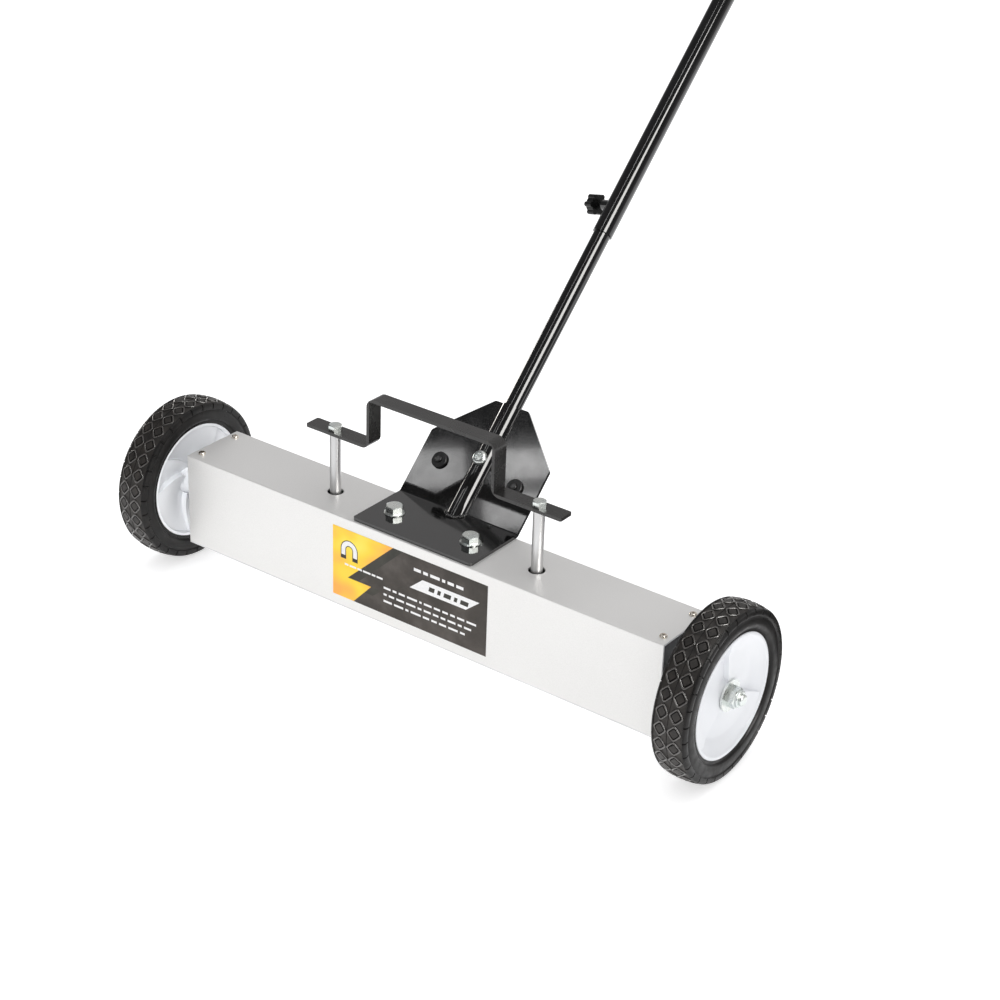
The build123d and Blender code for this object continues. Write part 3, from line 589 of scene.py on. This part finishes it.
def hub(sign, side):
    """The dish as one turned skin: radius, offset by angle and, on the vanes, a twist."""
    lip = rim_radius - LIP_WIDTH
    outline = [
        (BORE, level(BOSS_FACE)),
        (13.4, level(BOSS_FACE)),
        (14.0, level(BOSS_FACE - 0.3)),
        (15.8, lambda a: 0.35 * BOSS_FACE + 0.65 * blade_floor(a)),
        (18.0, lambda a: blade_floor(a) + 0.15),
        (20.0, blade_floor),
        (28.0, blade_floor),
        (37.0, blade_floor),
        (44.5, blade_floor),
        (46.5, slope(0.08)),
        (48.5, slope(0.22)),
        (54.0, slope(0.6)),
        (lip - 1.6, level(RIM_FACE - 1.8)),
        (lip - 0.7, level(RIM_FACE - 0.8)),
        (lip, level(RIM_FACE - 0.15)),
        (lip + 0.6, level(RIM_FACE)),
        (rim_radius - 0.8, level(RIM_FACE)),
        (rim_radius - 0.2, level(RIM_FACE - 0.3)),
        (rim_radius, level(RIM_FACE - 0.9)),
        (rim_radius, level(-15.2)),
        (rim_radius - 0.5, level(-15.8)),
        (lip + 0.6, level(-16.0)),
        (lip, level(-15.6)),
        (lip - 0.3, lambda a: 0.6 * -15.0 + 0.4 * vane_height(a, VANE_OUTER)),
    ]
    for k in range(VANE_ROWS + 1):
        r = VANE_OUTER - 0.2 - VANE_SPAN * k / VANE_ROWS
        on_vane = max(r, VANE_INNER)
        outline.append((r, lambda a, on_vane=on_vane: vane_height(a, on_vane), vane_twist(on_vane)))
    outline += [
        (17.0, level(-9.5)),
        (15.4, level(BOSS_BACK + 1.5)),
        (14.6, level(BOSS_BACK + 0.2)),
        (BORE, level(BOSS_BACK)),
        (BORE, level(BOSS_FACE)),
    ]
    edges = (*VANE_EDGES, *BLADE_EDGES)
    creases = [edge + gap for edge in edges for gap in (-CREASE_HALF, CREASE_HALF)]
    columns = sorted([2 * pi * (i + 0.5) / HUB_COLUMNS for i in range(HUB_COLUMNS)] + creases)
    bm = bmesh.new()
    rows = []
    for r, offset, *twist in outline:
        rows.append([wheel_point(sign, offset(a), r, a + sum(twist)) for a in columns])
    skin(bm, rows)
    piece(
        f"hub_dish_{side}", bm, f"{side}_wheel", ["hub_plastic"],
        [f"hub_{side}"], angle=32, weld=1e-6,
    )


for side, sign in (("left", -1), ("right", 1)):
    tyre(sign, side)
    hub(sign, side)

# ---------------------------------------------------------------- front label
label_low, label_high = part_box("front_label")
front_y = label_high.y
LABEL_LEFT, LABEL_RIGHT = label_low.x / MM, label_high.x / MM
LABEL_BOTTOM, LABEL_TOP = label_low.z / MM, label_high.z / MM
FILM, INK = 0.12, 0.03
label = bmesh.new()


def printed(points, layer, material):
    """A closed slab of film, or of ink so many layers up, on the front; points are (x, z) in mm."""
    layers = []
    for y in (front_y, front_y - FILM * MM - INK * MM * layer):
        layers.append([label.verts.new((x * MM, y, z * MM)) for x, z in points])
    faces = [label.faces.new(layers[1]), label.faces.new(layers[0][::-1])]
    for i in range(len(points)):
        j = (i + 1) % len(points)
        faces.append(label.faces.new((layers[0][i], layers[0][j], layers[1][j], layers[1][i])))
    for face in faces:
        face.material_index = material


def bar(x, z, length, height, layer, material, slant=0.0):
    corners = [(x, z), (x + length, z), (x + length + slant, z + height), (x + slant, z + height)]
    printed(corners, layer, material)


DARK, BAND, YELLOW, WHITE = range(4)
bar(LABEL_LEFT, LABEL_BOTTOM, LABEL_RIGHT - LABEL_LEFT, LABEL_TOP - LABEL_BOTTOM, 0, DARK)
zigzag = [(-20.5, LABEL_TOP), (-79.8, 37.5), (-48.7, 37.7), (-72.1, LABEL_BOTTOM)]
band = [(-7.5, LABEL_TOP), *zigzag[:2], (-66.0, 37.6), (-50.0, 52.8)]
printed(band, 1, BAND)
printed([(-48.7, 37.7), (-35.0, 37.7), (-46.5, 28.0), (-57.0, 28.2)], 1, BAND)
printed([(LABEL_LEFT, LABEL_TOP), *zigzag, (LABEL_LEFT, LABEL_BOTTOM)][::-1], 2, YELLOW)
printed([(1.9, 56.3), (73.6, 56.8), (90.3, 70.7), (18.2, 70.4)], 2, WHITE)
for x, length in ((26, 7), (37, 4), (45, 9), (58, 4), (66, 10)):
    bar(x, 60.6, length, 5.2, 3, BAND, 1.2)


ARC_STEPS = 20


def arch(cx, cz, radius):
    turns = [pi * i / ARC_STEPS for i in range(ARC_STEPS + 1)]
    return [(cx + radius * cos(t), cz + radius * sin(t)) for t in turns]


def horseshoe(cx, cz, outer, inner, leg, layer, material):
    """A generic horseshoe magnet, its poles pointing down."""
    ring = [(cx + outer, cz - leg), *arch(cx, cz, outer), (cx - outer, cz - leg)]
    ring += [(cx - inner, cz - leg), *arch(cx, cz, inner)[::-1], (cx + inner, cz - leg)]
    printed(ring, layer, material)


horseshoe(-78.0, 70.0, 11.4, 4.2, 11.4, 3, BAND)
horseshoe(-78.0, 70.0, 10.4, 5.2, 10.4, 4, WHITE)
for x in (-88.4, -72.8):
    bar(x, 59.6, 5.2, 3.4, 5, BAND)
for x, length in ((-84, 5), (-77.5, 9), (-67, 6), (-59.5, 10), (-48, 5), (-41.5, 8)):
    bar(x, 51.5, length, 2.2, 3, WHITE)
for x, length in ((7, 9), (19, 6), (28, 12), (43, 4), (50, 8), (61, 9)):
    bar(x, 77.5, length, 3.4, 3, WHITE)
WORDS = (
    (9, 5, 8, 13, 3, 10, 8, 7, 6, 9, 12),
    (4, 7, 10, 12, 5, 9, 7, 6, 10, 5, 9),
    (11, 12, 4, 13, 8, 7, 9, 12, 6),
)
WORDS_LEFT, WORDS_TOP, LINE_PITCH, WORD_GAP = -32.0, 42.2, 7.8, 2.9
for line, words in enumerate(WORDS):
    x = WORDS_LEFT
    for length in words:
        bar(x, WORDS_TOP - LINE_PITCH * line, length, 2.4, 2, WHITE)
        x += length + WORD_GAP
piece(
    "label_film", label, "chassis",
    ["label_print", "label_band", "label_yellow", "label_white"], ["front_label"], angle=20,
)

# ---------------------------------------------------------------- handle frame
LEAN = radians(45.6)
up_handle = Vector((0, sin(LEAN), cos(LEAN)))
off_handle = Vector((0, -cos(LEAN), sin(LEAN)))
side_on = Vector((1, 0, 0))
tube_base = Vector((0, 42.7, 109.2)) * MM
socket_radius = 11.1 * MM
# The weld bead runs this many degrees to each side round the socket's foot.
FOOT_HALF_TURN = 108
FOOT_STEPS, SEAM_STEPS = 160, 60
WELD_SIDES = 10


def swept(bm, path, radius, ripple, waves):
    """A bead along a path, thin at its ends; ripple makes the scales of a weld."""
    rows = []
    last = len(path) - 1
    for i, p in enumerate(path):
        along = (path[min(i + 1, last)] - path[max(i - 1, 0)]).normalized()
        across = along.cross(Vector((0.13, 0.21, 0.97))).normalized()
        other = along.cross(across)
        size = radius * (1 + ripple * sin(2 * pi * waves * i / len(path)))
        size *= min(1, 0.35 + 3.2 * min(i, last - i) / len(path))
        turns = [2 * pi * k / WELD_SIDES for k in range(WELD_SIDES)]
        rows.append([p + (across * cos(t) + other * sin(t)) * size for t in turns])
    made = skin(bm, rows)
    bm.faces.new(made[0][::-1])
    bm.faces.new(made[-1])


weld = bmesh.new()
foot = []
for i in range(FOOT_STEPS):
    a = radians(-FOOT_HALF_TURN + 2 * FOOT_HALF_TURN * i / (FOOT_STEPS - 1))
    around = (side_on * sin(a) + off_handle * cos(a)) * (socket_radius + 0.4 * MM)
    start = tube_base + around
    drop = (start.z - tube_base.z - 0.5 * MM) / up_handle.z
    foot.append(start - up_handle * drop)
swept(weld, foot, 1.9 * MM, ripple=0.12, waves=26)
for sign in (-1, 1):
    beside = tube_base + side_on * sign * (socket_radius + 0.2 * MM) + off_handle * 1.9 * MM
    for start, end in ((12, 38), (78, 104)):
        heights = [start + (end - start) * i / (SEAM_STEPS - 1) for i in range(SEAM_STEPS)]
        seam = [beside + up_handle * height * MM for height in heights]
        swept(weld, seam, 1.3 * MM, ripple=0.14, waves=9)
piece(
    "socket_weld", weld, "chassis", ["gloss_black_paint"],
    angle=60, weld=1e-7,
)

# ---------------------------------------------------------------- grips
GRIP_COLUMNS = 72
TUBE_CLEARANCE = 11.2
RIB_PITCH = 5.2


def grip_profile(length, top):
    """Turned outline of a grip, (along, radius) in mm: a flange, soft ribs and a closed end."""
    valley, crest = top - 2.2, top - 1.1
    profile = [(0.0, TUBE_CLEARANCE), (0.0, top - 0.8), (0.8, top), (3.2, top), (4.2, top - 1.2)]
    profile.append((6.0, valley))
    at = 9.0
    while at < length - 16:
        profile += [(at, valley), (at + 0.7, crest), (at + 3.1, crest), (at + 3.8, valley)]
        at += RIB_PITCH
    profile += [(length - 13, valley), (length - 11.5, top - 0.5), (length - 4, top - 0.4)]
    profile += [(length - 1.4, top - 2.4), (length - 0.3, top - 5.5), (length, top - 9.5)]
    profile += [(length, 2.0), (length - 2.5, 1.8), (length - 2.5, TUBE_CLEARANCE)]
    return [*profile, (0.0, TUBE_CLEARANCE)]


def grip(side, sign):
    low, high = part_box(f"grip_{side}")
    y, z = (low.y + high.y) / 2, (low.z + high.z) / 2
    inner_x, outer_x = (high.x, low.x) if sign < 0 else (low.x, high.x)
    turns = [2 * pi * k / GRIP_COLUMNS for k in range(GRIP_COLUMNS)]
    rows = []
    for along, r in grip_profile(abs(outer_x - inner_x) / MM, (high.z - low.z) / 2 / MM):
        x = inner_x + sign * along * MM
        rows.append([Vector((x, y + r * MM * cos(t), z + r * MM * sin(t))) for t in turns])
    bm = bmesh.new()
    skin(bm, rows)
    piece(
        f"grip_ribbed_{side}", bm, "telescopic_handle", ["grip_foam"],
        [f"grip_{side}"], angle=40, weld=1e-7,
    )


grip("left", -1)
grip("right", 1)

# ---------------------------------------------------------------- studio
FLOOR_GAP, FLOOR_REACH, FLOOR_GLOW = 0.0002, 14.0, 0.55
CARD_GAP, CARD_NEAR, CARD_FAR = 0.002, 0.22, 0.9


def level_sheet(name, low, high, z, look):
    """A level square that belongs to the studio, from low to high along both X and Y."""
    mesh = bpy.data.meshes.new(name)
    corners = ((low, low), (high, low), (high, high), (low, high))
    mesh.from_pydata([(x, y, z) for x, y in corners], [], [(0, 1, 2, 3)])
    mesh.materials.append(look.mat)
    made = bpy.data.objects.new(name, mesh)
    bpy.context.scene.collection.objects.link(made)
    return made


floor_look = Look(
    "floor_paper", grey(0.93), 0.8, Emission_Color=(1, 1, 1, 1), Emission_Strength=FLOOR_GLOW
)
floor_look.mottled(floor_look.noise(3, 3), (0.3, grey(0.92)), (0.7, grey(0.94)))
floor_z = cad_box[0].z - FLOOR_GAP
floor = level_sheet("studio_floor", -FLOOR_REACH, FLOOR_REACH, floor_z, floor_look)

# The camera sees a white backdrop, matt surfaces get an even grey and gloss reflects a sky that
# brightens towards the back, so that black paint keeps its contrast.
BACKDROP = (1, 1, 1)
SOFT_GREY = (0.74, 0.74, 0.75)
SKY_FRONT, SKY_BACK = (0.12, 0.12, 0.125, 1), (0.54, 0.53, 0.53, 1)
SKY_START, SKY_END = 0.60, 0.80
world = bpy.data.worlds.new("studio_world")
bpy.context.scene.world = world
world.use_nodes = True
tree = world.node_tree
coords = tree.nodes.new("ShaderNodeTexCoord")
split = tree.nodes.new("ShaderNodeSeparateXYZ")
tree.links.new(coords.outputs["Generated"], split.inputs["Vector"])
shift = tree.nodes.new("ShaderNodeMapRange")
shift.inputs["From Min"].default_value = -1
shift.inputs["From Max"].default_value = 1
tree.links.new(split.outputs["Y"], shift.inputs["Value"])
sky = tree.nodes.new("ShaderNodeValToRGB")
stops = ((SKY_START, SKY_FRONT), (SKY_END, SKY_BACK))
for element, (position, colour) in zip(sky.color_ramp.elements, stops):
    element.position = position
    element.color = colour
tree.links.new(shift.outputs["Result"], sky.inputs["Fac"])


def mix(factor, base, colour):
    """The base, or the plain colour where the factor is 1."""
    made = tree.nodes.new("ShaderNodeMix")
    made.data_type = "RGBA"
    made.inputs["B"].default_value = (*colour, 1)
    tree.links.new(factor, made.inputs["Factor"])
    tree.links.new(base, made.inputs["A"])
    return made.outputs["Result"]


rays = tree.nodes.new("ShaderNodeLightPath").outputs
seen = mix(rays["Is Camera Ray"], sky.outputs["Color"], BACKDROP)
tree.links.new(mix(rays["Is Diffuse Ray"], seen, SOFT_GREY), tree.nodes["Background"].inputs["Color"])
tree.nodes["Background"].inputs["Strength"].default_value = 1.0


def softbox(
    name, place, aim, width, height, radiance, colour=(1, 1, 1), across=(), gloss_only=True
):
    """A rectangular light whose face has the given radiance; across is its width's direction."""
    data = bpy.data.lights.new(name, "AREA")
    data.shape = "RECTANGLE"
    data.size, data.size_y = width, height
    data.energy = radiance * pi * width * height
    data.color = colour
    made = bpy.data.objects.new(name, data)
    bpy.context.scene.collection.objects.link(made)
    made.location = place
    outwards = (Vector(place) - Vector(aim)).normalized()
    made.rotation_euler = outwards.to_track_quat("Z", "Y").to_euler()
    if across:
        side = Vector(across)
        side = (side - outwards * side.dot(outwards)).normalized()
        made.rotation_euler = Matrix((side, outwards.cross(side), outwards)).transposed().to_euler()
    made.visible_diffuse = not gloss_only
    return made


def about(x, y, z):
    return centre + Vector((x, y, z))


centre = Vector((0, 0.05, 0.12))
wing = Vector((0, 0.07, 0.14))
left_hub = Vector((-0.33, -0.05, 0.10))
warm, warmer, warmest = (1.0, 0.985, 0.96), (1.0, 0.97, 0.93), (1.0, 0.96, 0.9)
# Three small patches that the bracket's wings mirror, turned along the wings' edges.
tilt = (0.89, 0.17, 0.43)
softbox("patch_left", (-1.258, -0.905, 1.699), wing, 0.15, 0.08, 5.2, across=tilt)
softbox("patch_right", (-1.08, -0.868, 1.79), wing, 0.13, 0.06, 6.5, across=tilt)
softbox("patch_low", (-1.06, -0.945, 1.735), wing, 0.13, 0.07, 5.5, across=tilt)
# Highlights on gloss and metal.
softbox("strip_front", about(-0.25, -1.10, 2.05), centre, 0.08, 1.8, 9.0)
softbox("softbox_right", about(1.9, -0.50, 1.45), centre, 0.85, 2.0, 11.0, warm)
softbox("strip_overhead", about(0.75, 0.35, 2.2), centre, 0.5, 0.5, 9.0, warmer)
softbox("panel_low_left", about(-2.3, 0.55, 0.05), centre, 0.9, 0.5, 9.0, warmest)
# Fills that light matt surfaces too; one of them reaches only the left hub.
softbox("fill_front", about(-0.9, -3.2, 0.75), centre, 2.4, 1.1, 0.62, gloss_only=False)
hub_light = softbox("fill_left_hub", (0.35, -1.1, 0.80), left_hub, 0.5, 0.5, 14.0, gloss_only=False)
hub_light.light_linking.receiver_collection = bpy.data.collections.new("left_hub_only")
hub_light.light_linking.receiver_collection.objects.link(bpy.data.objects["hub_dish_left"])
softbox("overhead", (0, 0.9, 3.0), (0, 0.1, 0), 3.2, 2.4, 0.5, gloss_only=False)

# A black card over the floor, behind the sweeper on its right, keeps the strap's risers dark;
# only reflections see it.
card_look = looks["black_end_plate"]
card = level_sheet("black_card", CARD_NEAR, CARD_FAR, floor_z + CARD_GAP, card_look)
for ray in ("camera", "diffuse", "shadow", "transmission"):
    setattr(card, f"visible_{ray}", False)

# ---------------------------------------------------------------- camera
# Fitted to the photograph: the place, right and up of the camera, and the lens further down.
CAMERA_PLACE = (1.2263, -1.5899, 1.2003)
CAMERA_RIGHT = Vector((0.8014, 0.5973, 0.0318))
CAMERA_UP = Vector((-0.3014, 0.3573, 0.8840))
camera = bpy.data.objects.new("camera", bpy.data.cameras.new("camera"))
bpy.context.scene.collection.objects.link(camera)
camera.data.lens = 80.9
camera.data.sensor_width = 36.0
camera.data.clip_end = 60
back = CAMERA_RIGHT.cross(CAMERA_UP).normalized()
turn = Matrix((CAMERA_RIGHT, CAMERA_UP, back)).transposed().to_4x4()
camera.matrix_world = Matrix.Translation(CAMERA_PLACE) @ turn
bpy.context.scene.camera = camera
bpy.context.scene.view_settings.view_transform = "Standard"
